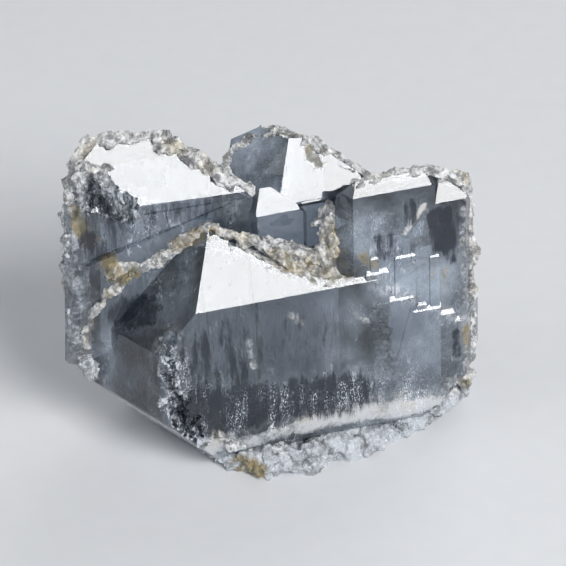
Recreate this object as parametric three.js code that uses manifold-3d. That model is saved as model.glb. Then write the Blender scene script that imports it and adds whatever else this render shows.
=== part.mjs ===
// A faden quartz cluster: clear, tabular quartz crystals grown side by side with
// their long axes parallel, joined in one solid, with broken white crusts along
// their tops and sides and a rough white foot cut off flat. Millimetres, +Z up.
// Every crystal's long axis is close to +Z and its widest faces look along -Y.

import * as THREE from "three";
import { ConvexGeometry } from "three/addons/geometries/ConvexGeometry.js";
import { mergeVertices } from "three/addons/utils/BufferGeometryUtils.js";
import Module from "manifold-3d";

const wasm = await Module();
wasm.setup();

// Quartz: prism faces every 60 degrees, and end faces whose normals lean 51.8
// degrees off the long axis.
const PRISM_TURN = THREE.MathUtils.degToRad(14.5); // front faces look this far right of -Y
const END_LEAN = THREE.MathUtils.degToRad(51.8);
const FRONT_OFFSET = 3.3; // the foremost front face lies this far in front of the origin
const UNDER = -8; // end faces that start this low are cut away with the flat base
const STATION_CORNERS = 8; // corners of a crust around each point of its path
const LAYERS = 4; // the first crystals listed are layers of the large one
const UP = new THREE.Vector3(0, 0, 1);

// ---------------------------------------------------------------- solids

// A closed three.js geometry as a manifold-3d solid.
function solidOf(geometry) {
  const bare = geometry.clone();
  bare.deleteAttribute("normal");
  bare.deleteAttribute("uv");
  const merged = mergeVertices(bare, 1e-4);
  return new wasm.Manifold(
    new wasm.Mesh({
      numProp: 3,
      vertProperties: merged.attributes.position.array,
      triVerts: new Uint32Array(merged.index.array),
    }),
  );
}

// A manifold-3d solid as a three.js geometry.
function geometryOf(solid) {
  const mesh = solid.getMesh();
  const geometry = new THREE.BufferGeometry();
  const places = new THREE.BufferAttribute(mesh.vertProperties, mesh.numProp);
  geometry.setAttribute("position", places);
  geometry.setIndex(new THREE.BufferAttribute(mesh.triVerts, 1));
  const flat = geometry.toNonIndexed();
  flat.computeVertexNormals();
  return flat;
}

function planeThrough(normal, point) {
  return new THREE.Plane().setFromNormalAndCoplanarPoint(normal, point);
}

// The convex solid behind a list of planes, whose normals point outwards.
function behindPlanes(planes) {
  const corners = [];
  const point = new THREE.Vector3();
  const inverse = new THREE.Matrix3();
  for (let i = 0; i < planes.length; i++)
    for (let j = i + 1; j < planes.length; j++)
      for (let k = j + 1; k < planes.length; k++) {
        const [a, b, c] = [planes[i], planes[j], planes[k]];
        inverse.set(...a.normal.toArray(), ...b.normal.toArray(), ...c.normal.toArray());
        if (Math.abs(inverse.determinant()) < 1e-6) continue;
        point.set(-a.constant, -b.constant, -c.constant).applyMatrix3(inverse.invert());
        if (planes.every((p) => p.distanceToPoint(point) < 1e-6)) corners.push(point.clone());
      }
  return solidOf(new ConvexGeometry(corners));
}

// ---------------------------------------------------------------- crystals

// Outward normal of prism face 0 to 5: front, left front, left back, back,
// right back, right front.
function prismNormal(face) {
  const turn = PRISM_TURN - (face * Math.PI) / 3;
  return new THREE.Vector3(Math.sin(turn), -Math.cos(turn), 0);
}

// The same face's end face, at the top (end 1) or the bottom (end -1).
function endNormal(face, end) {
  return prismNormal(face)
    .multiplyScalar(Math.sin(END_LEAN))
    .addScaledVector(UP, end * Math.cos(END_LEAN));
}

// The point at x on the plane that lies `back` behind the foremost front face.
function onFront(x, back, z = 0) {
  const n = prismNormal(0);
  return new THREE.Vector3(x, (FRONT_OFFSET + back + n.x * x) / -n.y, z);
}

// One crystal. Its front left prism edge stands at x, `back` behind the foremost
// front face. front and left are the widths of the two faces beside that edge,
// and deep and across are the distances from those faces to their opposites.
// tops and bottoms are the heights where each end face meets its prism face.
// broken is a plane where its top is broken off, as a normal and a point.
function crystal({ x, back, front, left, deep, across, tops, bottoms, tilt = 0, broken }) {
  const edge = onFront(x, back);
  const rightward = prismNormal(0).cross(UP).negate();
  const leftward = prismNormal(1).cross(UP);
  const onFace = [
    edge,
    edge,
    edge.clone().addScaledVector(leftward, left),
    edge.clone().addScaledVector(prismNormal(0), -deep),
    edge.clone().addScaledVector(prismNormal(1), -across),
    edge.clone().addScaledVector(rightward, front),
  ];
  const planes = onFace.map((p, face) => planeThrough(prismNormal(face), p));
  const addEnds = (heights, end) =>
    heights.forEach((height, face) =>
      planes.push(planeThrough(endNormal(face, end), onFace[face].clone().setZ(height))),
    );
  addEnds(tops, 1);
  addEnds(bottoms, -1);
  if (broken) planes.push(planeThrough(...broken.map((p) => new THREE.Vector3(...p))));
  const pivot = edge.clone().setZ(tops[0]).toArray();
  return behindPlanes(planes)
    .translate(pivot.map((value) => -value))
    .rotate([0, tilt, 0])
    .translate(pivot);
}

const crystals = [
  // the large front crystal, with the layers that step down at its right
  { x: -12.8, back: 0, front: 27.6, left: 13.8, deep: 13, across: 36,
    tops: [25.2, 19.9, 21, 26, 26, 26], bottoms: [3.4, 10, 10, 0, UNDER, 2] },
  { x: -8, back: 0.03, front: 27.2, left: 9, deep: 12, across: 32,
    tops: [21.5, 19, 21, 24, 24, 22], bottoms: [3.4, 6, 8, 0, UNDER, 4] },
  { x: -8, back: 0.06, front: 30.7, left: 9, deep: 12, across: 33,
    tops: [19.2, 17, 19, 22, 22, 20], bottoms: [3.4, 6, 8, 0, UNDER, 7] },
  { x: -8, back: 0.09, front: 34.1, left: 9, deep: 13, across: 35,
    tops: [16.6, 14, 16, 20, 22, 17], bottoms: [3.4, 6, 8, 0, UNDER, 9] },
  // back left
  { x: -22.4, back: 7.1, front: 22.2, left: 1.4, deep: 11, across: 22,
    tops: [37.7, 41.5, 41, 36.4, 33.4, 37], bottoms: [17, 14, 14, 4, UNDER, UNDER], tilt: 3 },
  // middle peak
  { x: 2.3, back: 8, front: 11.4, left: 9.2, deep: 12, across: 13,
    tops: [33.1, 33.1, 37.5, 35, 30.9, 33], bottoms: [0, UNDER, UNDER, 3, 0, UNDER],
    broken: [[0.1, 0.25, 1], [3.4, 18, 39.3]] },
  // small one in front of the peak
  { x: -0.4, back: 6, front: 5.8, left: 3, deep: 6, across: 7,
    tops: [33.4, 33.6, 33, 31, 31, 33], bottoms: [0, UNDER, UNDER, 0, 0, UNDER] },
  // right
  { x: 11.2, back: 0.45, front: 10.3, left: 3, deep: 9.3, across: 13.6,
    tops: [37.4, 37.4, 36, 28.6, 33, 37], bottoms: [3.6, 3, 0, 0, 0, 6] },
  // far right
  { x: 12, back: 0.5, front: 13.4, left: 5, deep: 11.2, across: 15,
    tops: [34.5, 34, 33, 24, 31, 34.8], bottoms: [4, 3, 0, 4, 6, 8] },
  // low at the back, between the back left crystal and the middle peak
  { x: -7, back: 13, front: 9, left: 4, deep: 6, across: 11,
    tops: [24, 25, 24, 22, 23, 24], bottoms: [0, 0, 0, 2, 0, 0] },
];

// Little crystals in parallel growth, where the layers of the front crystal meet
// the right crystal, one beside the small crystal in front of the peak, and three
// thin ones on the right crystal's front: x, back, height of the top edge, width.
const steps = [
  [12.6, 0.05, 26, 2.9],
  [14.4, 0.15, 22.6, 1],
  [15.9, 0.1, 21.6, 2.3],
  [18.9, 0.2, 20, 1.2],
  [20.4, 0.15, 19.2, 1.3],
  [21.7, 0.1, 18, 1.9],
  [23.7, 0.2, 16.8, 1],
  [5, 7.7, 32.6, 3.8],
  [13.2, 0.25, 28.1, 1],
  [16.2, 0.22, 27.6, 2.6],
  [20.5, 0.28, 26.8, 1.2],
];

function step([x, back, top, width]) {
  return { x, back, front: width, left: 1.2, deep: 4, across: width + 2,
    tops: [top, top, top, top, top, top], bottoms: [9, 9, 9, 9, 9, 9] };
}

// ---------------------------------------------------------------- crusts

// Repeatable random numbers from 0 to 1.
let seed = 20;
function random() {
  seed = (seed * 16807) % 2147483647;
  return seed / 2147483647;
}

const between = (low, high) => low + (high - low) * random();

function direction() {
  const turn = between(0, 2 * Math.PI);
  const z = between(-1, 1);
  const flat = Math.sqrt(1 - z * z);
  return new THREE.Vector3(flat * Math.cos(turn), flat * Math.sin(turn), z);
}

// Jagged crust along a path: at every station a few corners lie around the path,
// and the corners of each two neighbouring stations are wrapped as one lump.
function crust({ path, radius, every }) {
  const curve = new THREE.CatmullRomCurve3(path.map((p) => new THREE.Vector3(...p)));
  const count = Math.ceil(curve.getLength() / every);
  const stations = [];
  for (let i = 0; i <= count; i++) {
    const station = [];
    const reach = radius * between(0.7, 1.2);
    const centre = curve.getPointAt(i / count);
    for (let k = 0; k < STATION_CORNERS; k++)
      station.push(direction().multiplyScalar(reach * between(0.8, 1.15)).add(centre));
    stations.push(station);
  }
  const lumps = [];
  for (let i = 0; i < count; i++)
    lumps.push(solidOf(new ConvexGeometry([...stations[i], ...stations[i + 1]])));
  return lumps;
}

const crusts = [
  // along the top of the back left crystal, and over its end face at the right
  { path: [[-22, 10.2, 41.6], [-20, 11.4, 43.2], [-15.6, 12.2, 43.6], [-11.6, 12.6, 42.2],
      [-8.7, 12.6, 40.4], [-5, 12, 38], [-1.5, 11.4, 35.6]],
    radius: 1.2, every: 1.3 },
  { path: [[-12.6, 12.6, 43.4], [-11, 12.4, 42.7], [-8.7, 11.9, 41.1], [-6.1, 11.5, 39.7],
      [-4.2, 10.9, 38.2], [-2.7, 10.6, 37]],
    radius: 1.3, every: 1.1 },
  // along the middle peak
  { path: [[-3.9, 20, 33.6], [-2.8, 21, 35.6], [0.4, 20.6, 37.7], [3.6, 18.8, 38.6], [6.4, 18.6, 37.7]],
    radius: 1, every: 1.3 },
  { path: [[5.6, 18.2, 38], [8, 17.8, 36.6], [10.2, 17.4, 35], [13.6, 17, 32]], radius: 1.4, every: 1.3 },
  // along the tops of the right crystals
  { path: [[11.8, 8.5, 38.2], [14.6, 9.4, 38.5], [17.2, 10.1, 38.6], [19.6, 10.7, 38.5],
      [21.8, 11.2, 37.6], [24.6, 12.3, 36]],
    radius: 0.9, every: 1 },
  { path: [[12.4, 9.8, 36.8], [17, 11.2, 37.2], [22.2, 12.1, 36.1], [24.8, 13.6, 34.4]],
    radius: 1.2, every: 1.4 },
  // down the left side
  { path: [[-22.6, 7, 40], [-22.8, 6.5, 37], [-22.6, 6.4, 33.6], [-22.4, 6.4, 29],
      [-22.7, 6.4, 24.5], [-22.8, 6.5, 20], [-22.5, 6.8, 15.5], [-21.4, 8, 12]],
    radius: 1.3, every: 1.5 },
  { path: [[-21.6, 12, 38.6], [-22.8, 12, 31], [-22.8, 12.5, 22], [-22, 13, 12]], radius: 1.8, every: 2.1 },
  // down the right side
  { path: [[24.9, 13, 34.4], [24.9, 13, 28], [25.3, 13.2, 20.6], [25.1, 13, 13.8], [24.7, 12.4, 6]],
    radius: 1.4, every: 1.8 },
  // the shell-like lump over the back left crystal's broken corner
  { path: [[-21.4, 8.3, 41], [-20, 8.5, 41.1], [-18.4, 8.4, 40.4]], radius: 2.2, every: 1.3 },
  // where the large crystal's left end face meets the back left crystal
  { path: [[-21.8, 6, 16.4], [-21.5, 5.7, 20.8], [-20.4, 5.9, 23.4], [-19, 6.2, 24.9],
      [-17.2, 6.7, 26.4], [-15.4, 7.1, 27.6], [-13.5, 7.5, 28.8], [-11, 8, 30],
      [-9, 8.3, 31.4], [-7.2, 8.6, 32.3]],
    radius: 0.95, every: 1.2 },
  { path: [[-18.4, 6.4, 28.4], [-16.8, 6.8, 28.8], [-15.4, 7.2, 28.2]], radius: 1.2, every: 1.2 },
  // over the broken top of the large crystal's front end face
  { path: [[-6.9, 8.6, 32.9], [-2.5, 8.3, 31.2], [0.1, 8.1, 30.2], [2.8, 7.3, 28.4],
      [5.9, 6.1, 25.7], [10, 7.3, 25.2]],
    radius: 0.9, every: 1.1 },
  { path: [[0, 9.8, 29.6], [4, 9.4, 27.8], [8, 9.2, 26.6]], radius: 1.6, every: 1.7 },
  // the broken ground between the small and right crystals
  { path: [[7.4, 11.6, 31], [9, 11.6, 32.6], [8.8, 10, 29.6], [7.8, 9.4, 27]], radius: 1.9, every: 1.7 },
  { path: [[9.4, 9.6, 25.6], [9.6, 9.6, 29.6], [9.4, 9.8, 33]], radius: 1.1, every: 1.4 },
  // the foot's front ledge, and its rise up the large crystal's broken edge
  { path: [[-6.6, 6.6, 1], [-4.3, 5, 1.1], [-1.8, 3.4, 1], [0.4, 2.9, 1], [2.6, 2.5, 0.9],
      [4.8, 3.1, 0.7], [6.8, 4.5, 0.6], [10, 5.8, 0.5], [13.6, 7.8, 0.6],
      [16.5, 9.8, 0.8], [20, 12, 1.8], [22.6, 13.6, 3.4]],
    radius: 2.5, every: 1.6 },
  { path: [[-4, 7, 0.6], [3, 7, 0.6], [10, 8.8, 0.6]], radius: 2.6, every: 2.4 },
  { path: [[-8.2, 2.2, 5.4], [-6.6, 2.5, 5.8], [-4.9, 3.1, 4.7], [-3, 3.6, 3.4]], radius: 1.4, every: 1.3 },
  // the foot's back and the broken joint up between the crystals behind
  { path: [[-15, 18, 2], [-7, 21, 0.8], [-1, 23, 1], [7, 23, 1.2], [12, 20.6, 1], [20, 19, 2],
      [24.4, 15.4, 3.4]],
    radius: 2.2, every: 2 },
  { path: [[-4.6, 20.6, 2], [-3.4, 20, 12], [-4, 19.6, 22], [-4.4, 18, 33]], radius: 1.7, every: 2 },
  { path: [[13.6, 20.4, 2], [13, 20.6, 12], [13.8, 18.6, 22], [13.6, 17.6, 31]], radius: 1.8, every: 2.2 },
];

// The valley broken out of the large crystal's layers, in front of the crystals behind.
const valley = behindPlanes([
  planeThrough(new THREE.Vector3(-0.21, -0.98, 0).normalize(), new THREE.Vector3(-6.7, 8, 0)),
  planeThrough(prismNormal(0), onFront(0, 0.6)),
  planeThrough(prismNormal(0).negate(), onFront(0, 7.3)),
  planeThrough(new THREE.Vector3(-0.28, 0, -1).normalize(), new THREE.Vector3(-6, 0, 30)),
  planeThrough(new THREE.Vector3(1, 0, 0), new THREE.Vector3(11.5, 0, 0)),
  planeThrough(UP, new THREE.Vector3(0, 0, 50)),
]);

// What is broken away: the large crystal's front left edge, the back left
// crystal's upper left corner, and nicks along the layers' top edges.
const losses = [
  { path: [[-12.2, -0.7, 22.4], [-11.4, -1, 18], [-10.9, -0.8, 14.3], [-10.2, -0.6, 10.6],
      [-9.4, -0.3, 7.2], [-9, 0, 4.6]],
    radius: 2.6, every: 1.4 },
  { path: [[-23.8, 4.4, 38.4], [-22.2, 4.8, 39.8], [-20, 6, 40.8], [-17.4, 6.2, 39.4], [-15.4, 5.8, 37.4]],
    radius: 3.2, every: 1.6 },
  { path: [[13.6, 6.3, 24.8], [16, 7.2, 22.6], [18.4, 7.8, 21.2], [20.4, 8.4, 20],
      [22.6, 8.9, 18.6], [25, 9.6, 17.2]],
    radius: 0.55, every: 0.7 },
];

// ---------------------------------------------------------------- cluster

const join = (all, one) => all.add(one);
const floor = solidOf(new THREE.BoxGeometry(200, 200, 100).translate(0, 0, -50));
const large = crystals.slice(0, LAYERS).map(crystal).reduce(join).subtract(valley);
const others = [...crystals.slice(LAYERS), ...steps.map(step)].map(crystal);
const grown = others.reduce(join, large);
const broken = crusts.flatMap(crust).reduce(join);
const lost = losses.flatMap(crust).reduce(join);
const body = grown.subtract(lost).add(broken).subtract(floor);

// The one connected solid, without the pockets that the crusts close inside it.
const [whole] = body.decompose().sort((a, b) => b.volume() - a.volume());

const geometry = geometryOf(whole);
geometry.computeBoundingBox();
const middle = geometry.boundingBox.getCenter(new THREE.Vector3());
geometry.translate(-middle.x, -middle.y, 0);

const quartz = new THREE.MeshStandardMaterial({ color: 0xcdd2da, roughness: 0.08, metalness: 0 });
const mesh = new THREE.Mesh(geometry, quartz);
mesh.name = "quartz_cluster";

const cluster = new THREE.Group();
cluster.add(mesh);

export default cluster;
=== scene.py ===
import math

import bmesh
import bpy
import numpy as np
from mathutils import Matrix, Vector, noise


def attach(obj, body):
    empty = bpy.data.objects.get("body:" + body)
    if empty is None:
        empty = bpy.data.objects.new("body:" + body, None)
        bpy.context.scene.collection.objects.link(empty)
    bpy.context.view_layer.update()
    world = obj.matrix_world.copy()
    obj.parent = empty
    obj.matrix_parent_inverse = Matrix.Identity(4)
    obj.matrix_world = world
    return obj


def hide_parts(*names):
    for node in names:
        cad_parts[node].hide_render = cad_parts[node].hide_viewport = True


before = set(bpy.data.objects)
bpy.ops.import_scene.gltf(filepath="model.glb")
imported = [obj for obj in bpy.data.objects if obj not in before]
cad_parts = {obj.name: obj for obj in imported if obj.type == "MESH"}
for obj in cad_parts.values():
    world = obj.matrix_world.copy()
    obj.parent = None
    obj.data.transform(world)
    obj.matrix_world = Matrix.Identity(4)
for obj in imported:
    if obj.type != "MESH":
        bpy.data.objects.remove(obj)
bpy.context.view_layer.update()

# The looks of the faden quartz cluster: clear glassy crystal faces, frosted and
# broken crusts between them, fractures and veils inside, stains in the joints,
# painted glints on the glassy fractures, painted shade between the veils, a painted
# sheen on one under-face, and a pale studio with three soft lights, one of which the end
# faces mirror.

MM = 0.001
NODE = "quartz_cluster"

# ---------------------------------------------------------------- crystal frame

# The solids are drawn in millimetres from this point, which their own centring
# put at the origin.
CENTRE = Vector((1.04, 13.0, 0))
PRISM_TURN = math.radians(14.5)
END_LEAN = math.radians(51.8)
TILT = math.radians(3)


def place(x, y, z):
    """A point of the crystals' own drawing, in the row frame, in metres."""
    return (Vector((x, y, z)) - CENTRE) * MM


def prism_normal(face):
    turn = PRISM_TURN - face * math.pi / 3
    return Vector((math.sin(turn), -math.cos(turn), 0))


def end_normal(face, end):
    side = prism_normal(face) * math.sin(END_LEAN)
    return side + Vector((0, 0, end * math.cos(END_LEAN)))


def all_face_normals():
    upright = [prism_normal(face) for face in range(6)]
    upright += [end_normal(face, end) for face in range(6) for end in (1, -1)]
    tilted = [Matrix.Rotation(TILT, 3, "Y") @ normal for normal in upright]
    return upright + tilted


FACE_NORMALS = all_face_normals()


# ---------------------------------------------------------------- the crystal body

WELD = 1e-7  # corners closer than this are one
FACE_TOLERANCE = math.cos(math.radians(0.6))
DOWNWARD = -0.999  # a normal's z below this points straight down
ON_THE_FLOOR = 0.01 * MM
FLAT_ANGLE = math.radians(0.25)
ROUGH_EDGE = 0.42 * MM  # broken ground is cut up until its edges are shorter
SHARP_EDGE = 0.24 * MM  # glassy fractures until theirs are
SMOOTH_EDGE = 1.0 * MM  # and crystal faces until theirs are
SLIVER = 0.004 * MM * MM  # smaller facets stay whole
GLASSY = 0.4  # broken ground with a stronger fracture-and-glint stroke is a glassy fracture
FLAT, BROKEN, BASE, SHARP = 0, 1, 2, 3
ROUGH = (BROKEN, SHARP)


def facet_kind(normal, z):
    """Whether a facet is a crystal face, broken ground or the flat base."""
    if normal.z < DOWNWARD and z < ON_THE_FLOOR:
        return BASE
    best = max(normal.dot(other) for other in FACE_NORMALS)
    return FLAT if best > FACE_TOLERANCE else BROKEN


def arrays_of(bm):
    bm.verts.index_update()
    corners = np.array([v.co for v in bm.verts])
    triangles = np.array([[v.index for v in f.verts] for f in bm.faces])
    return corners, triangles


def mesh_of(corners, triangles, kinds):
    """A bmesh of the triangles, with the kind of each in a face layer."""
    mesh = bpy.data.meshes.new("cut")
    mesh.from_pydata(corners.tolist(), [], triangles.tolist())
    bm = bmesh.new()
    bm.from_mesh(mesh)
    bpy.data.meshes.remove(mesh)
    kind = bm.faces.layers.int.new("kind")
    for face, number in zip(bm.faces, kinds):
        face[kind] = face.material_index = int(number)
    bm.normal_update()
    return bm, kind


TIE_BREAK = 1e-12  # ranks edges of the same length


def cut_fine(corners, triangles, kinds, wanted_kinds, longest):
    """Halves the longest edges of some kinds of facets until they are short enough."""
    while True:
        ends = np.sort(triangles[:, [[0, 1], [1, 2], [2, 0]]], axis=2).reshape(-1, 2)
        edges, of_side = np.unique(ends, axis=0, return_inverse=True)
        of_side = of_side.reshape(-1, 3)
        length = np.linalg.norm(corners[edges[:, 0]] - corners[edges[:, 1]], axis=1)
        a, b, c = (corners[triangles[:, k]] for k in range(3))
        area = np.linalg.norm(np.cross(b - a, c - a), axis=1) / 2
        wanted = np.zeros(len(edges), bool)
        wanted[of_side[np.isin(kinds, wanted_kinds) & (area > SLIVER)].ravel()] = True
        wanted &= length > longest
        rank = np.where(wanted, length + TIE_BREAK * np.arange(len(edges)), -1)
        side = rank[of_side].argmax(axis=1)
        row = np.arange(len(triangles))
        best = of_side[row, side]
        votes = np.bincount(best[rank[best] > 0], minlength=len(edges))
        halved = np.flatnonzero(votes == 2)
        if len(halved) == 0:
            return corners, triangles, kinds
        middle = np.full(len(edges), -1)
        middle[halved] = len(corners) + np.arange(len(halved))
        corners = np.vstack([corners, corners[edges[halved]].mean(axis=1)])
        split = (middle[best] >= 0) & (rank[best] > 0)
        first = triangles[row, side]
        second = triangles[row, (side + 1) % 3]
        third = triangles[row, (side + 2) % 3]
        near = np.stack([first, middle[best], third], axis=1)[split]
        far = np.stack([middle[best], second, third], axis=1)[split]
        triangles = np.vstack([triangles[~split], near, far])
        kinds = np.concatenate([kinds[~split], kinds[split], kinds[split]])


def join_flats(bm, kind):
    """Every crystal face becomes as few polygons as it can."""
    edges = []
    for edge in bm.edges:
        pair = edge.link_faces
        if pair[0][kind] == pair[1][kind] and pair[0][kind] not in ROUGH:
            edges.append(edge)
    bmesh.ops.dissolve_limit(
        bm, angle_limit=FLAT_ANGLE, verts=[], edges=edges, delimit={"MATERIAL"}
    )


def crystal_body():
    """The solid's corners and triangles, with its broken ground cut fine and uneven."""
    bm = bmesh.new()
    bm.from_mesh(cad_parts[NODE].data)
    bmesh.ops.remove_doubles(bm, verts=bm.verts, dist=WELD)
    bmesh.ops.triangulate(bm, faces=bm.faces[:])
    bm.normal_update()
    kinds = np.array([facet_kind(f.normal, f.calc_center_median().z) for f in bm.faces])
    corners, triangles = arrays_of(bm)
    bm.free()
    corners, triangles, kinds = cut_fine(corners, triangles, kinds, [BROKEN], ROUGH_EDGE)
    middles = corners[triangles].mean(axis=1)
    kinds[(kinds == BROKEN) & (painted(middles, FRACTURES_AND_GLINTS) > GLASSY)] = SHARP
    corners, triangles, kinds = cut_fine(corners, triangles, kinds, [SHARP], SHARP_EDGE)
    bm, kind = mesh_of(corners, triangles, kinds)
    join_flats(bm, kind)
    unsettle(bm, kind)
    bmesh.ops.triangulate(bm, faces=bm.faces[:], ngon_method="BEAUTY")
    corners, triangles = arrays_of(bm)
    kinds = np.array([face[kind] for face in bm.faces])
    bm.free()
    return cut_fine(corners, triangles, kinds, [FLAT], SMOOTH_EDGE)


# How uneven broken ground is. Waves: how many to the millimetre, and how high (mm).
COARSE_WAVES = 0.8, 0.3
FINE_WAVES = 4, 0.08
RIDGES, RIDGE_TOP = (0.8, 0.6), 0.16
TEETH, TEETH_TOP = (1.7, 0.4), 0.10
TEETH_APART = Vector((9, 4, 7))  # keeps the teeth off the ridges
# Facets: how wide (mm), and how steep.
CRUST_FACETS = 1.6, 0.5
LARGE_FLAKES, SMALL_FLAKES = (1.5, 1.5), (0.55, 1.6)
FLAKES_SUNK = 0.1
CELL_SPREAD = 7.3  # takes each facet to a lean of its own
HALF = Vector((0.5, 0.5, 0.5))


def waves(p, per_mm, height, apart=Vector()):
    return noise.noise(p * per_mm + apart) * height


def facets(p, size, slope):
    """Height of ground made of small flat facets that lean every way."""
    q = p / size
    cell = noise.voronoi(q)[1][0]
    lean = noise.cell_vector(cell * CELL_SPREAD) - HALF
    return (q - cell).dot(lean) * slope * size


def glassy_height(p):
    """Crumpled glassy fractures, in millimetres."""
    flakes = facets(p, *LARGE_FLAKES) + facets(p, *SMALL_FLAKES)
    return waves(p, *COARSE_WAVES) + flakes + waves(p, *FINE_WAVES) - FLAKES_SUNK


def crust_height(p):
    """Crusts with ridges, teeth and leaning facets, in millimetres."""
    ridges = RIDGE_TOP - abs(waves(p, *RIDGES))
    teeth = TEETH_TOP - abs(waves(p, *TEETH, TEETH_APART))
    return waves(p, *COARSE_WAVES) + ridges + teeth + facets(p, *CRUST_FACETS)


SWAY = 0.13 * MM  # how far corners of broken ground also move sideways
SWAYS_PER_MM = 1.7
SWAYS_APART = [Vector((9.3, -1.5, -8)), Vector((-4.7, 6.1, 2.9)), Vector((1.9, 7.7, -5.3))]
NEARLY_HELD = 0.05  # a face turned less than this from the others holds nothing more


def sway(p):
    """A sideways move. Blender's own noise_vector would change from run to run."""
    return Vector([noise.noise(p * SWAYS_PER_MM + apart) for apart in SWAYS_APART]) * SWAY


def unsettle(bm, kind):
    """Moves the vertices of broken ground; those on a crystal face stay on it."""
    moves = []
    for vert in bm.verts:
        ground = [f for f in vert.link_faces if f[kind] in ROUGH]
        if not ground:
            continue
        sharp = any(f[kind] == SHARP for f in ground)
        out = Vector()
        for face in ground:
            out += face.normal * face.calc_area()
        out.normalize()
        p = vert.co / MM
        height = glassy_height(p) if sharp else crust_height(p)
        shift = out * (height * MM)
        shift += sway(p)
        held = []
        for face in vert.link_faces:
            if face[kind] in ROUGH:
                continue
            normal = face.normal.copy()
            for other in held:
                normal -= other * normal.dot(other)
            if normal.length > NEARLY_HELD:
                held.append(normal.normalized())
        for normal in held:
            shift -= normal * shift.dot(normal)
        if len(held) < 3:  # a corner of three faces stays where it is
            moves.append((vert, shift))
    for vert, shift in moves:
        vert.co += shift
        vert.co.z = max(vert.co.z, 0)


# ---------------------------------------------------------------- painted regions

# Each stroke: how far it reaches (mm), how strong it is, and its points.

# Milky haze inside the quartz.
MILK = [
    (60, 0.12, (0, 10, 20)),
    (9, 0.42, (14, 8, 8), (22, 9, 12), (21, 9, 22)),
    (10, 0.15, (0, 3.6, 17), (8, 5, 17), (16, 8, 14)),
    (4, 0.34, (9.6, 6, 22), (9.8, 6.1, 12)),
    (6, 0.50, (13, 8, 32), (17, 9, 31)),
    (4, 0.56, (15, 7.8, 24.6), (17.4, 8.4, 24.1), (22.3, 9.6, 23)),
    (5, 0.75, (-0.4, 19, 36.8), (0.8, 16, 34)),
    (5, 0.14, (-12, 8, 33), (-4, 9, 35)),
    (4, 0.06, (-18.5, 6, 34), (-17, 6, 30)),
    (4, 0.22, (-9, 7, 29), (-12, 4, 25), (-13, 6, 27)),
    (5, 0.16, (-16, 3, 15), (-20, 7, 14)),
    (2.2, 0.6, (-19.5, 6.9, 18.6), (-19.7, 7.1, 14), (-19.4, 6.9, 10)),
    (5, 0.12, (2, 10, 31), (8, 11, 32)),
]
# Upright streaks of fine bright grains.
GRAIN = [
    (5.5, 1.0, (-8, 1.5, 10), (-2, 3, 8.5), (4, 4.4, 8), (10, 6, 7.5)),
    (5, 0.8, (14, 7, 6.5), (22, 9, 5.5)),
    (3, 0.9, (-9.4, 1.2, 6), (-8.6, 1.4, 12), (-9, 1.2, 17)),
    (3, 0.5, (-13.5, 1, 12), (-11, 0, 20)),
    (4, 0.5, (-18, 6, 36), (-17, 6, 33), (-12, 7, 34)),
    (4, 0.35, (-16, 7, 25), (-10, 6, 28)),
    (4, 0.4, (13, 7.4, 32), (18, 8.6, 30)),
]
# Patches of white crust on the crystal faces, and a painted sheen (painted
# reflection) on the thin under-face at the lower left.
RIME_AND_SHEEN = [
    (2.4, 0.78, (-22.8, 5, 40), (-22.8, 5, 36), (-23, 5, 30), (-23, 5, 22), (-22.6, 6, 13)),
    (1.5, 0.7, (-19, 7, 20), (-20, 7, 22)),
    (1.7, 0.9, (-8, 1.4, 6.4), (-6, 1.9, 6.2), (-4, 2.4, 4.2)),
    (1.5, 1.0, (-3.4, 2.5, 4), (0, 3.4, 4.6), (4, 4.4, 5.2)),
    (2.0, 1.25, (4, 4.4, 5.2), (7, 5.2, 5.6), (11.6, 6.4, 5.4), (21, 9, 4.6)),
    (2.0, 0.75, (7, 5.2, 6.4), (12, 6.6, 6.6), (21, 9, 6.4), (24.6, 10, 8)),
    # painted reflection: the thin under-face at the lower left, seen at a grazing angle, is
    # whitened as if it shone
    (7, 1.3, (-15.7, 9.8, 4), (-9.4, 3.6, 4)),
    (0.8, 0.86, (-1.9, 2.95, 19.6), (-1.5, 3.1, 15.8)),
    (0.9, 0.8, (3.2, 4.4, 22.6), (4.6, 4.7, 20.8)),
    (0.9, 0.8, (11.4, 6.5, 20.8), (12.8, 6.8, 19)),
    (0.6, 1.05, (19.9, 9, 34.6), (17.5, 8.4, 31.2)),
    (1.0, 0.8, (24.8, 9.9, 33), (25, 10, 8)),
]
# Ochre and olive stains.
STAIN = [
    (1.8, 1.0, (-18.6, 6, 30.2), (-17.4, 6.3, 27.6), (-15.6, 6.6, 27.8)),
    (1.6, 0.8, (-10, 7.6, 31), (-8.4, 8, 31.6), (-6, 8.4, 32.4)),
    (1.5, 1.0, (-22, 5, 39.4), (-21.6, 5, 36), (-20.4, 5.4, 33.4)),
    (1.2, 0.6, (-17.4, 6.3, 27), (-20.6, 5.2, 23.6), (-22, 5, 17)),
    (2.6, 0.7, (2, 7, 29), (6, 7, 27), (10, 7.4, 26), (9, 9.4, 30)),
    (1.4, 0.8, (12.4, 7, 28.6), (13.4, 7.2, 27.4)),
    (2.4, 1.1, (-3.6, 1.2, 1.5), (-2, 0.4, 1.2)),
    (1.4, 1.0, (25.2, 10.1, 15), (25.2, 11, 12)),
    (1.4, 0.8, (24.8, 10, 7), (25, 12, 5)),
    (1.2, 0.4, (-14, 12, 44), (-11, 12.4, 43)),
    (0.9, 0.5, (14, 9, 39), (17, 10, 38)),
    (1.0, 1.0, (6.2, 17.1, 37.8), (7.4, 16.2, 36.4)),
    (1.0, 0.5, (-19.4, 6.9, 17), (-19.4, 6.9, 14.6)),
    (0.8, 0.6, (20.7, 9.2, 25.6), (20.7, 9.2, 23.4)),
    (0.8, 0.7, (22.3, 9.6, 25), (22.3, 9.6, 22)),
]
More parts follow.
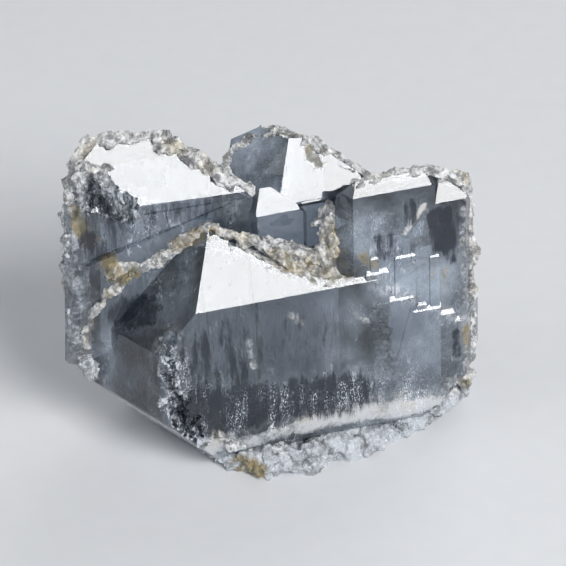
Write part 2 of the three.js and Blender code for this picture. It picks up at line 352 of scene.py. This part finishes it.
# Glassy fractures. Their white flecks are painted glints, a painted highlight.
FRACTURES_AND_GLINTS = [
    (3.0, 1.0, (-12, 0.5, 22), (-11, 1, 16), (-10.4, 1.2, 10), (-9.6, 1.6, 7)),
    (3.2, 1.0, (-19, 6, 38.6), (-17, 6, 38), (-14.8, 6.6, 37.4)),
    (1.2, 0.8, (13, 7, 26), (18, 8, 21), (24, 9.6, 17)),
    (4, 0.38, (-22.8, 6.4, 39), (-22.8, 6.4, 30), (-22.8, 6.4, 20), (-22, 8, 12)),
]
# Painted shade: near-black patches between the veils. They stand in for the dark
# ground that clear quartz shows through it.
PAINTED_SHADE = [
    (4.6, 1.6, (-8, 1.5, 10.5), (-2, 3, 9.8)),
    (4.2, 1.3, (-2, 3, 9.8), (4, 4.4, 9.8), (10.5, 6.2, 8.6)),
    (8, 0.92, (-6.5, 1.6, 19), (-6, 1.8, 15)),
    (3.4, 1.0, (-19.4, 6, 40), (-17.6, 6.2, 36.4)),
    (7, 0.62, (-2, 3, 20), (6, 5, 19)),
    (3.2, 1.3, (-18.1, 8.5, 22.6), (-15.5, 6, 21.8), (-14.4, 5.3, 23.1)),
    (2.2, 1.6, (21.7, 9.5, 32.5), (22.2, 9.6, 28.6)),
    (1.4, 1.0, (18.1, 8.6, 35), (17.9, 8.6, 32.6)),
    (1.1, 1.1, (15.6, 7.9, 31), (16.2, 8.1, 28.4)),
    (1.1, 1.0, (14.1, 7.6, 31), (14.6, 7.7, 28.2)),
    (1.0, 0.9, (23, 9.8, 26.4), (23.2, 9.8, 25.6)),
    (1.8, 1.0, (-20.2, 5.6, 39.2), (-19.8, 5.6, 36.4)),
    (1.0, 0.9, (-16.2, 6.6, 41), (-15.8, 6.7, 37.5)),
    (2.4, 0.8, (-13.6, 7.2, 35.9), (-7.2, 8.9, 35.2), (-4, 9.7, 34.6)),
    (2.0, 1.05, (-20.6, 5.4, 34), (-19.6, 5.7, 31.6)),
    (2.0, 1.05, (-17.2, 6.3, 34.6), (-17.2, 6.3, 32.4)),
    (2.4, 0.6, (-17.4, 4.8, 18), (-16.8, 4.2, 12)),
    (1.2, 1.0, (-11.6, 0.4, 17), (-11.4, 0.4, 14.6)),
    (1.4, 1.0, (-9.2, 1, 13), (-8.8, 1.1, 10.6)),
    (0.9, 1.2, (23.6, 9.5, 15), (23.8, 9.6, 11.6)),
    (1.4, 0.8, (3, 8.8, 31.6), (4, 9, 29.4)),
    (1.0, 0.9, (1, 5, 2), (5, 4.4, 2.4)),
]
SHORTEST = 1e-12  # so that a single point has a length
STRONGEST_TO = 0.3  # a stroke is at full strength up to this share of its reach,
# and fades out over one reach more


def away_from(points, path):
    """Distance of each point to a path, or to a single point."""
    path = [np.array(place(*p)) for p in path]
    nearest = np.full(len(points), np.inf)
    for start, end in zip(path, path[1:] or path):
        along = end - start
        length_squared = max(along @ along, SHORTEST)
        share = np.clip((points - start) @ along / length_squared, 0, 1)
        gap = np.linalg.norm(points - start - share[:, None] * along, axis=1)
        nearest = np.minimum(nearest, gap)
    return nearest


def painted(points, strokes):
    """Strength of the strokes at each point; the strongest one counts."""
    value = np.zeros(len(points))
    for reach, strength, *path in strokes:
        away = away_from(points, path) / (reach * MM)
        share = np.clip(1 + STRONGEST_TO - away, 0, 1)
        smooth = share * share * (3 - 2 * share)
        value = np.maximum(value, strength * smooth)
    return value


# ---------------------------------------------------------------- healed fractures

# Thin, crumpled films of gas inside the quartz: centre, direction, radii, crumple.
FILMS = [
    ((-10.4, 2.6, 19.6), (-0.6, -0.7, 0.2), (1.2, 2.2), 1.0),
    ((-9.8, 2.9, 15.4), (-0.2, -0.9, 0.2), (1.5, 2.4), 1.1),
    ((-9.2, 3.0, 11.6), (-0.3, -0.9, 0.1), (1.6, 2.6), 1.1),
    ((-8.2, 3.4, 8.2), (-0.2, -0.9, 0.3), (1.8, 1.8), 0.9),
    ((-11.2, 4.4, 22.4), (-0.7, -0.6, 0.2), (1.0, 2.2), 0.8),
    ((-6.8, 4.4, 13.2), (0.3, -0.9, 0.1), (1.4, 2.2), 0.8),
    ((-1.7, 4.2, 17.4), (0.5, -0.9, 0.1), (0.5, 2.0), 0.5),
    ((4.6, 5.9, 21.5), (0.1, -0.9, 0.4), (0.9, 0.6), 0.4),
    ((12, 7.9, 20.2), (0.3, -0.9, 0.3), (1.1, 0.7), 0.4),
    ((-12.6, 5.4, 23.6), (-0.9, -0.3, 0.1), (1.4, 3.2), 0.7),
    ((-9.6, 6.6, 26.6), (-0.5, -0.6, 0.5), (1.6, 1.8), 0.7),
    ((-15, 7, 22.4), (-0.4, -0.8, 0.3), (2.4, 1.0), 0.6),
    ((-15.4, 6, 13), (-0.8, -0.6, 0), (1.6, 3.0), 0.5),
    ((-18.4, 7.6, 36), (0.2, -0.9, 0.2), (1.4, 1.8), 0.9),
    ((-16.4, 8.4, 34.4), (0.4, -0.8, 0.2), (1.2, 2.4), 0.8),
    ((-13.6, 9.4, 33.6), (0.7, -0.6, 0.1), (1.2, 2.6), 0.6),
    ((-19.6, 8, 31), (-0.4, -0.9, 0.1), (1.2, 2.2), 0.7),
    ((-6, 10, 34), (0.2, -0.9, 0.3), (2.4, 1.2), 0.6),
    ((-10, 10, 35.4), (0.2, -0.9, 0.3), (1.8, 1.2), 0.5),
    ((17.4, 10.4, 31.4), (0.6, -0.7, 0.4), (2.2, 1.5), 0.7),
    ((14.6, 9.4, 31.6), (-0.3, -0.8, 0.3), (1.8, 1.5), 0.7),
    ((21.4, 11.2, 30), (0.4, -0.8, 0.1), (1.2, 1.8), 0.7),
    ((14, 9.2, 29), (0.2, -0.9, 0.2), (1.4, 1.6), 0.6),
    ((22.4, 11.2, 12.6), (0.9, -0.4, 0.1), (0.8, 2.4), 0.4),
    ((15.2, 9.2, 28), (0.1, -0.8, 0.6), (0.8, 0.25), 0.1),
    ((17.8, 9.9, 27.4), (0.1, -0.8, 0.6), (1.0, 0.25), 0.1),
    ((21.4, 10.8, 26.7), (0.1, -0.8, 0.6), (1.2, 0.3), 0.1),
    ((2.6, 11.4, 31.6), (0.1, -0.9, 0.3), (1.6, 1.0), 0.6),
    ((14.4, 8.8, 8.6), (0.2, -0.9, 0.3), (1.2, 0.8), 0.6),
    ((18.6, 9.8, 8.2), (0.1, -0.9, 0.4), (1.4, 0.8), 0.6),
    ((8, 8, 7.6), (0.1, -0.9, 0.2), (1.6, 1.2), 0.7),
    ((1, 6.4, 8), (0, -0.9, 0.2), (1.4, 1.6), 0.8),
]
FILM_RINGS = 12
FILM_SPOKES = 34
FILM_HALF = 0.03  # mm, half the gap at the middle
# The outline: its least reach, how much it varies and how fast, and how far the
# noise moves on from film to film.
OUTLINE_REACH, OUTLINE_VARIES, OUTLINE_SPEED, OUTLINE_STEP = 0.75, 0.5, 1.6, 3.1
# Crumples: how many to the millimetre, and their share of the height.
CRUMPLES = 1.3, 1.0
CREASES = 3.4, 0.45
CRUMPLES_APART = 7  # mm from one film's noise to the next one's


def film(centre, direction, radii, crumple, seed):
    """A closed lens-shaped gap whose faces look into it."""
    across = Vector(direction).normalized()
    side = across.cross(Vector((0, 0, 1))).normalized()
    up = side.cross(across)
    points, triangles = [], []

    def reach(turn):
        spot = Vector((math.cos(turn), math.sin(turn), seed * OUTLINE_STEP))
        return OUTLINE_REACH + OUTLINE_VARIES * noise.noise(spot * OUTLINE_SPEED)

    def crumpled(flat, apart, per_mm, share):
        return noise.noise((flat + Vector(apart)) * per_mm) * crumple * share

    def put(ring, spoke, sheet):
        share = ring / FILM_RINGS
        turn = 2 * math.pi * spoke / FILM_SPOKES
        edge = reach(turn)
        flat = side * (math.cos(turn) * share * radii[0] * edge)
        flat += up * (math.sin(turn) * share * radii[1] * edge)
        lift = crumpled(flat, (seed * CRUMPLES_APART, 0, 0), *CRUMPLES)
        lift += crumpled(flat, (0, seed * CRUMPLES_APART, 0), *CREASES)
        lift += sheet * FILM_HALF * (1 - share * share)
        points.append(place(*centre) + (flat + across * lift) * MM)
        return len(points) - 1

    rim = [put(FILM_RINGS, k, 0) for k in range(FILM_SPOKES)]
    for sheet in (1, -1):
        middle = put(0, 0, sheet)
        rings = [
            [put(ring, k, sheet) for k in range(FILM_SPOKES)] for ring in range(1, FILM_RINGS)
        ]
        rings.append(rim)
        for k in range(FILM_SPOKES):
            after = (k + 1) % FILM_SPOKES
            fan = [(middle, rings[0][after], rings[0][k])]
            for inner, outer in zip(rings, rings[1:]):
                fan.append((inner[k], inner[after], outer[k]))
                fan.append((inner[after], outer[after], outer[k]))
            triangles += fan if sheet > 0 else [t[::-1] for t in fan]
    return points, triangles


# ---------------------------------------------------------------- materials


class Nodes:
    """Short names for the shader nodes of one material."""

    def __init__(self, name):
        self.material = bpy.data.materials.new(name)
        self.material.use_nodes = True
        self.tree = self.material.node_tree
        self.tree.nodes.clear()
        self.output = self.tree.nodes.new("ShaderNodeOutputMaterial")
        self.place = self.tree.nodes.new("ShaderNodeTexCoord").outputs["Object"]

    def node(self, kind, links=(), **settings):
        made = self.tree.nodes.new(kind)
        for name, value in settings.items():
            setattr(made, name, value)
        for socket, value in dict(links).items():
            self.put(made.inputs[socket], value)
        return made

    def put(self, socket, value):
        if isinstance(value, bpy.types.NodeSocket):
            self.tree.links.new(value, socket)
        else:
            socket.default_value = value

    def scaled(self, size):
        links = {0: self.place, 1: tuple(1 / (s * MM) for s in size)}
        return self.node("ShaderNodeVectorMath", links, operation="MULTIPLY").outputs[0]

    def pattern(self, name):
        """A noise of the table, through its ramp if it has one."""
        size, detail, roughness, *ramp = PATTERNS[name]
        links = {"Vector": self.scaled(size), "Scale": 1.0}
        links.update({"Detail": detail, "Roughness": roughness})
        value = self.node("ShaderNodeTexNoise", links).outputs["Fac"]
        return self.ramp(value, *ramp) if ramp else value

    def ramp(self, value, low, high, to_low=0.0, to_high=1.0):
        links = {0: value, 1: low, 2: high, 3: to_low, 4: to_high}
        made = self.node("ShaderNodeMapRange", links, interpolation_type="SMOOTHSTEP")
        return made.outputs[0]

    def math(self, operation, a, b=0.0):
        return self.node("ShaderNodeMath", {0: a, 1: b}, operation=operation).outputs[0]

    def fold(self, operation, values):
        total = values[0]
        for value in values[1:]:
            total = self.math(operation, total, value)
        return total

    def times(self, *values):
        return self.fold("MULTIPLY", values)

    def plus(self, *values):
        return self.fold("ADD", values)

    def most(self, *values):
        return self.fold("MAXIMUM", values)

    def all_but(self, value, share=1.0):
        """What a value, or a share of it, leaves over from one."""
        taken = value if share == 1.0 else self.times(value, share)
        return self.math("SUBTRACT", 1.0, taken)

    def mix(self, factor, a, b):
        made = self.node("ShaderNodeMix", {"Factor": factor}, data_type="RGBA")
        self.put(made.inputs[6], a)
        self.put(made.inputs[7], b)
        return made.outputs[2]

    def attribute(self, name):
        return self.node("ShaderNodeAttribute", attribute_name=name).outputs["Fac"]

    def height(self):
        return self.node("ShaderNodeSeparateXYZ", {0: self.place}).outputs[2]


def colour(red, green, blue):
    return (red, green, blue, 1)


# Noise patterns. Each row: size of its grains along x, y and z (mm), detail and
# roughness, then the ramp it goes through, if any: from where to where, and what
# it gives at either end.
PATTERNS = {
    "clouds": ((5.5, 5.5, 7), 5, 0.62, 0.32, 0.68, 0.35, 1.45),
    "speckle": ((0.14, 0.14, 0.34), 2, 0.6, 0.49, 0.66),
    "columns": ((1.3, 1.3, 14), 3, 0.6, 0.40, 0.58, 0.12, 1.0),
    "groups": ((2.6, 2.6, 3.4), 4, 0.65, 0.40, 0.58, 0.25, 1.15),
    "mist": ((0.8, 0.8, 2.6), 4, 0.65, 0.40, 0.75),
    "wisp sheets": ((5, 5, 14), 4, 0.6),
    "wisp places": ((3, 3, 3), 2, 0.5, 0.50, 0.62),
    "rime crystals": ((0.5, 0.5, 0.5), 4, 0.7),
    "rime patches": ((2.4, 2.4, 2.4), 4, 0.6),
    "frost": ((1.2, 1.2, 1.2), 5, 0.7, 0.40, 0.60, 0.2, 0.95),
    "foot frost": ((2.6, 2.6, 2.6), 3, 0.5, 0.36, 0.6, 0.3, 0.9),
    # painted glints: where the glassy fractures get white flecks
    "painted_glints": ((0.8, 0.8, 1.5), 4, 0.62, 0.48, 0.53),
    "dirt": ((0.9, 0.9, 0.9), 4, 0.65),
    "streaks": ((0.9, 0.9, 5), 5, 0.7),
    "warm crusts": ((3.5, 3.5, 3.5), 3, 0.5, 0.50, 0.70),
    "crust specks": ((0.6, 0.6, 0.6), 3, 0.5, 0.60, 0.80, 0.0, 0.35),
    "rust": ((1.8, 1.8, 1.8), 3, 0.5, 0.42, 0.60),
    "rough crusts": ((1.1, 1.1, 1.1), 3, 0.5, 0.3, 0.7, 0.14, 0.42),
    "rough rear": ((3, 3, 3), 4, 0.5, 0.44, 0.60, 0.0, 0.14),
    "ripple": ((20, 20, 0.7), 3, 0.6),
    "pits": ((0.28, 0.28, 0.28), 3, 0.65),
    "floor": ((3, 3, 3), 3, 0.5),
}

QUARTZ_IOR = 1.544
ABSORBED = colour(0.39, 0.44, 0.50)
ABSORPTION = 76.0
CLOUD = colour(0.40, 0.46, 0.54)
WHITE = colour(0.80, 0.84, 0.90)
CRUST = colour(0.80, 0.80, 0.80)
CREAM = colour(0.76, 0.71, 0.60)
FOOT = colour(0.62, 0.65, 0.69)
OCHRE = colour(0.36, 0.26, 0.10)
OLIVE = colour(0.18, 0.16, 0.08)
# The near-black tone of the painted shade, which stands in for dark ground seen through the
# quartz.
PAINTED_SHADE_TONE = colour(0.015, 0.022, 0.038)

# How much each thing counts in the fine grains, the wisps and the milky haze.
GRAIN_OF_SPECKLE, GRAIN_OF_MIST = 0.62, 0.24
WISP_THINNESS = 0.014
WISPS_IN_GRAIN, WISPS_ELSEWHERE = 0.7, 0.2
MILK_OF_CLOUDS, MILK_OF_SPECKLE = 0.9, 0.25
HAZE_OF_WISPS = 0.8
# The rime on the faces, with the painted sheen of the lower-left under-face, and what the
# unseen rear gets of it.
RIME_OF_STROKES, RIME_BEHIND, RIME_OF_CRYSTALS, RIME_OF_PATCHES = 0.82, 0.30, 0.9, 1.1
RIME_RAMP = 1.30, 2.0, 0.0, 0.8
ETCH_OF_CLOUDS, ETCH_OF_COLUMNS = 0.11, 0.13
# The foot, from where it fades out to where it is full, and how plain it stays.
FOOT_FROM, FOOT_TO = 5.5 * MM, 2.5 * MM
FOOT_PLAINNESS = 0.8
FRACTURE_CLEARNESS = 0.92
# Dirt and the painted shade: how ragged they are, where they begin and how strong.
DIRT_RAGGEDNESS = 1.8
DIRT_RAMP = 1.25, 1.95, 0.0, 0.92
DIRT_COVER, MOST_COVER = 0.35, 0.97
SHADE_RAGGEDNESS = 2.6
SHADE_RAMP = 1.75, 2.45
SHADE_CLEARS, SHADE_COVERS = 0.45, 0.4
SHADE_STRENGTH = 0.96
# How much whiter the grains and the etched rear are.
GRAIN_WHITENESS, REAR_WHITENESS = 1.6, 0.5
RIME_ROUGHNESS, DIRT_ROUGHNESS = 0.3, 0.55
RIPPLE_BEHIND, RIPPLE_ELSEWHERE = 0.05, 0.02
FRACTURE_PITS = 2.0
BUMP_STRENGTH, BUMP_HEIGHT = 0.7, 0.12 * MM


def quartz_material():
    n = Nodes("quartz")
    broken = n.attribute("broken")
    fracture_and_glints = n.attribute("fracture_and_glints")
    behind = n.attribute("behind")
    grains = n.attribute("grain")
    columns, mist, speckle = n.pattern("columns"), n.pattern("mist"), n.pattern("speckle")
    clouds, painted_glints = n.pattern("clouds"), n.pattern("painted_glints")
    foot = n.ramp(n.height(), FOOT_FROM, FOOT_TO)

    # Haze inside the clear quartz, and rime on it, with the painted sheen of the lower-left
    # under-face.
    fine = n.plus(n.times(speckle, GRAIN_OF_SPECKLE), n.times(mist, GRAIN_OF_MIST))
    grain = n.times(grains, columns, n.pattern("groups"), fine)
    from_sheet = n.math("ABSOLUTE", n.math("SUBTRACT", n.pattern("wisp sheets"), 0.5))
    wisps = n.times(n.ramp(from_sheet, WISP_THINNESS, 0.0), n.pattern("wisp places"))
    wisps = n.times(wisps, n.plus(n.times(grains, WISPS_IN_GRAIN), WISPS_ELSEWHERE))
    milk = n.plus(n.times(clouds, MILK_OF_CLOUDS), n.times(speckle, MILK_OF_SPECKLE))
    milk = n.times(n.attribute("milk"), milk)
    etch = n.plus(n.times(clouds, ETCH_OF_CLOUDS), n.times(columns, mist, ETCH_OF_COLUMNS))
    haze = n.plus(milk, n.times(wisps, HAZE_OF_WISPS), grain, n.times(behind, etch))
    rime_and_sheen = n.most(n.times(n.attribute("rime_and_sheen"), RIME_OF_STROKES), n.times(behind, RIME_BEHIND))
    rime_and_sheen = n.plus(
        rime_and_sheen,
        n.times(n.pattern("rime crystals"), RIME_OF_CRYSTALS),
        n.times(n.pattern("rime patches"), RIME_OF_PATCHES),
    )
    rime_and_sheen = n.ramp(rime_and_sheen, *RIME_RAMP)
    haze = n.most(haze, rime_and_sheen)

    # Frost on broken ground, painted glints on the glassy fractures, dirt, and the
    # painted shade.
    frost = n.most(n.pattern("frost"), n.times(foot, n.pattern("foot frost")))
    not_fracture = n.all_but(fracture_and_glints, FRACTURE_CLEARNESS)
    # Painted glints: white flecks on the glassy fractures stand in for their glinting.
    frost = n.plus(n.times(frost, not_fracture), n.times(fracture_and_glints, painted_glints))
    solid = n.node("ShaderNodeMix", {0: broken, 2: haze, 3: frost}).outputs[0]
    dirt = n.plus(n.attribute("stain"), n.times(n.pattern("dirt"), DIRT_RAGGEDNESS))
    dirt = n.ramp(dirt, *DIRT_RAMP)
    solid = n.math("MINIMUM", n.plus(solid, n.times(dirt, DIRT_COVER)), MOST_COVER)
    # Painted shade: ragged near-black patches, laid where clear quartz would show dark
    # ground.
    streaks = n.times(n.pattern("streaks"), SHADE_RAGGEDNESS)
    painted_shade = n.ramp(n.plus(n.attribute("painted_shade"), streaks), *SHADE_RAMP)
    solid = n.times(solid, n.all_but(painted_shade, SHADE_CLEARS))
    solid = n.plus(solid, n.times(painted_shade, SHADE_COVERS))

    # Colour, from the haze up to the stains, the painted glints and the painted shade.
    above_foot = n.all_but(foot, FOOT_PLAINNESS)
    warm = n.times(n.pattern("warm crusts"), above_foot)
    crust = n.mix(foot, n.mix(warm, CRUST, CREAM), FOOT)
    crust = n.mix(n.times(n.pattern("crust specks"), above_foot), crust, OLIVE)
    crusty = n.most(broken, rime_and_sheen)
    tint = n.mix(n.times(n.all_but(fracture_and_glints), crusty), CLOUD, crust)
    bright = n.plus(n.times(grain, GRAIN_WHITENESS), wisps)
    bright = n.plus(bright, n.times(behind, columns, mist, REAR_WHITENESS))
    # Painted glints: the flecks on the glassy fractures turn white, as the grains and wisps
    # do.
    tint = n.mix(n.most(bright, n.times(fracture_and_glints, painted_glints)), tint, WHITE)
    tint = n.mix(dirt, tint, n.mix(n.pattern("rust"), OCHRE, OLIVE))
    # The painted shade turns the colour near-black, less so on the grains.
    painted_shade_share = n.times(painted_shade, n.math("SUBTRACT", SHADE_STRENGTH, grain))
    tint = n.mix(painted_shade_share, tint, PAINTED_SHADE_TONE)

    rough = n.most(
        n.times(n.pattern("rough crusts"), broken, not_fracture),
        n.times(behind, n.pattern("rough rear")),
        n.times(rime_and_sheen, RIME_ROUGHNESS),
        n.times(dirt, DIRT_ROUGHNESS),
    )
    ripple = n.plus(n.times(behind, RIPPLE_BEHIND), RIPPLE_ELSEWHERE)
    ripple = n.times(n.pattern("ripple"), ripple)
    pits = n.times(n.pattern("pits"), crusty, n.plus(n.times(fracture_and_glints, FRACTURE_PITS), 1.0))
    height = n.plus(pits, ripple)
    bump = {"Strength": BUMP_STRENGTH, "Distance": BUMP_HEIGHT, "Height": height}
    shader = n.node(
        "ShaderNodeBsdfPrincipled",
        {
            "Base Color": tint,
            "Roughness": rough,
            "IOR": QUARTZ_IOR,
            "Transmission Weight": n.all_but(solid),
            "Normal": n.node("ShaderNodeBump", bump).outputs[0],
        },
    )
    depth = n.node("ShaderNodeVolumeAbsorption", {"Color": ABSORBED, "Density": ABSORPTION})
    n.tree.links.new(shader.outputs[0], n.output.inputs["Surface"])
    n.tree.links.new(depth.outputs[0], n.output.inputs["Volume"])
    return n.material


FLOOR_DARK = colour(0.74, 0.75, 0.77)
FLOOR_LIGHT = colour(0.78, 0.79, 0.81)
FLOOR_ROUGHNESS = 0.8


def floor_material():
    n = Nodes("pale_floor")
    pale = n.mix(n.pattern("floor"), FLOOR_DARK, FLOOR_LIGHT)
    links = {"Base Color": pale, "Roughness": FLOOR_ROUGHNESS}
    shader = n.node("ShaderNodeBsdfPrincipled", links)
    n.tree.links.new(shader.outputs[0], n.output.inputs["Surface"])
    return n.material


# ---------------------------------------------------------------- building


REGIONS = {
    "milk": MILK,
    "grain": GRAIN,
    # rime, and the painted sheen on the lower-left under-face
    "rime_and_sheen": RIME_AND_SHEEN,
    "stain": STAIN,
    # glassy fractures, which also carry the painted glints
    "fracture_and_glints": FRACTURES_AND_GLINTS,
    # painted shade, laid where clear quartz would show dark ground
    "painted_shade": PAINTED_SHADE,
}
BROKENNESS = {FLAT: 0.0, BROKEN: 1.0, SHARP: 1.0, BASE: 0.3}
REAR_FROM = 2.5 * MM  # upright faces further back than this are unseen in the photo
UPRIGHT = 0.3  # a normal's z up to this is upright
BACKWARD = 0.2  # and its y beyond this points backward


def rear_facets(corners, triangles):
    """Which triangles belong to the etched rear, which the photo doesn't show."""
    a, b, c = (corners[triangles[:, k]] for k in range(3))
    facing = np.cross(b - a, c - a)
    facing /= np.linalg.norm(facing, axis=1)[:, None]
    far = (a[:, 1] > REAR_FROM) & (np.abs(facing[:, 2]) < UPRIGHT)
    return far | (facing[:, 1] > BACKWARD)


def add_cluster():
    corners, triangles, kinds = crystal_body()
    corners, triangles = corners.tolist(), triangles.tolist()
    broken = [BROKENNESS[kind] for kind in kinds]
    for seed, gap in enumerate(FILMS):
        points, sides = film(*gap, seed)
        triangles += [[k + len(corners) for k in side] for side in sides]
        corners += [tuple(p) for p in points]
        broken += [0.0] * len(sides)
    mesh = bpy.data.meshes.new("crystals")
    mesh.from_pydata(corners, [], triangles)
    points = np.array(corners)
    rear = rear_facets(points, np.array(triangles))
    rear[len(kinds):] = False  # the films are inside
    for name, values in (("broken", broken), ("behind", rear.astype(float))):
        layer = mesh.attributes.new(name, "FLOAT", "FACE")
        layer.data.foreach_set("value", values)
    for name, strokes in REGIONS.items():
        layer = mesh.attributes.new(name, "FLOAT", "POINT")
        layer.data.foreach_set("value", painted(points, strokes))
    mesh.materials.append(quartz_material())
    piece = bpy.data.objects.new("crystals", mesh)
    bpy.context.scene.collection.objects.link(piece)
    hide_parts(NODE)
    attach(piece, "root")
    print("crystals:", len(mesh.polygons), "faces")


# ---------------------------------------------------------------- studio

LOOK_DOWN = math.radians(35.5)
ROLL = math.radians(2)
CAMERA_AWAY = 0.5
CLIP_FROM = 0.01
SENSOR = 36  # mm
PHOTO_WIDTH = 566  # px
PHOTO_SCALE = 8.08  # px to the millimetre, at the target
FIELD = PHOTO_WIDTH / (PHOTO_SCALE * (CAMERA_AWAY / MM))  # frame width over distance
TARGET = place(2.49, 14.31, 20.06)

# Soft lights: how far away, how wide, and how bright.
KEY = 0.9, 0.36, 17
FILL = 1.2, 0.6, 1.2
BACK = 1.2, 0.8, 1.6
FILL_FROM = Vector((-0.9, -0.3, 0.8))
BACK_FROM = Vector((0.5, 0.9, 0.8))
SKY = colour(0.9, 0.95, 1.0)
SKY_STRENGTH = 0.25
FLOOR_SIZE = 4


def add_camera():
    """The photo's own view; returns the direction from the cluster to the camera."""
    back = Vector((0, -math.cos(LOOK_DOWN), math.sin(LOOK_DOWN)))
    up = Vector((0, math.sin(LOOK_DOWN), math.cos(LOOK_DOWN)))
    right = Vector((1, 0, 0))
    up_rolled = up * math.cos(ROLL) + right * math.sin(ROLL)
    right_rolled = right * math.cos(ROLL) - up * math.sin(ROLL)
    turn = Matrix((right_rolled, up_rolled, back)).transposed().to_4x4()
    data = bpy.data.cameras.new("camera")
    data.sensor_width = SENSOR
    data.lens = SENSOR / FIELD
    data.clip_start = CLIP_FROM
    camera = bpy.data.objects.new("camera", data)
    camera.matrix_world = Matrix.Translation(TARGET + back * CAMERA_AWAY) @ turn
    bpy.context.scene.collection.objects.link(camera)
    bpy.context.scene.camera = camera
    return back


def add_softbox(name, direction, away, size, radiance):
    data = bpy.data.lights.new(name, "AREA")
    data.shape = "SQUARE"
    data.size = size
    data.energy = radiance * math.pi * size * size
    light = bpy.data.objects.new(name, data)
    light.location = TARGET + direction.normalized() * away
    light.rotation_euler = direction.to_track_quat("Z", "Y").to_euler()
    bpy.context.scene.collection.objects.link(light)


def add_studio():
    to_camera = add_camera()
    mirror = end_normal(0, 1)
    towards = mirror * (2 * mirror.dot(to_camera)) - to_camera
    add_softbox("key", towards, *KEY)  # where the end faces mirror it
    add_softbox("fill", FILL_FROM, *FILL)
    add_softbox("back", BACK_FROM, *BACK)
    world = bpy.data.worlds.new("world")
    world.use_nodes = True
    background = world.node_tree.nodes["Background"]
    background.inputs["Color"].default_value = SKY
    background.inputs["Strength"].default_value = SKY_STRENGTH
    bpy.context.scene.world = world
    bpy.ops.mesh.primitive_plane_add(size=FLOOR_SIZE)
    floor = bpy.context.object
    floor.name = "floor"
    floor.data.materials.append(floor_material())
    bpy.context.scene.view_settings.view_transform = "Standard"


add_studio()
add_cluster()
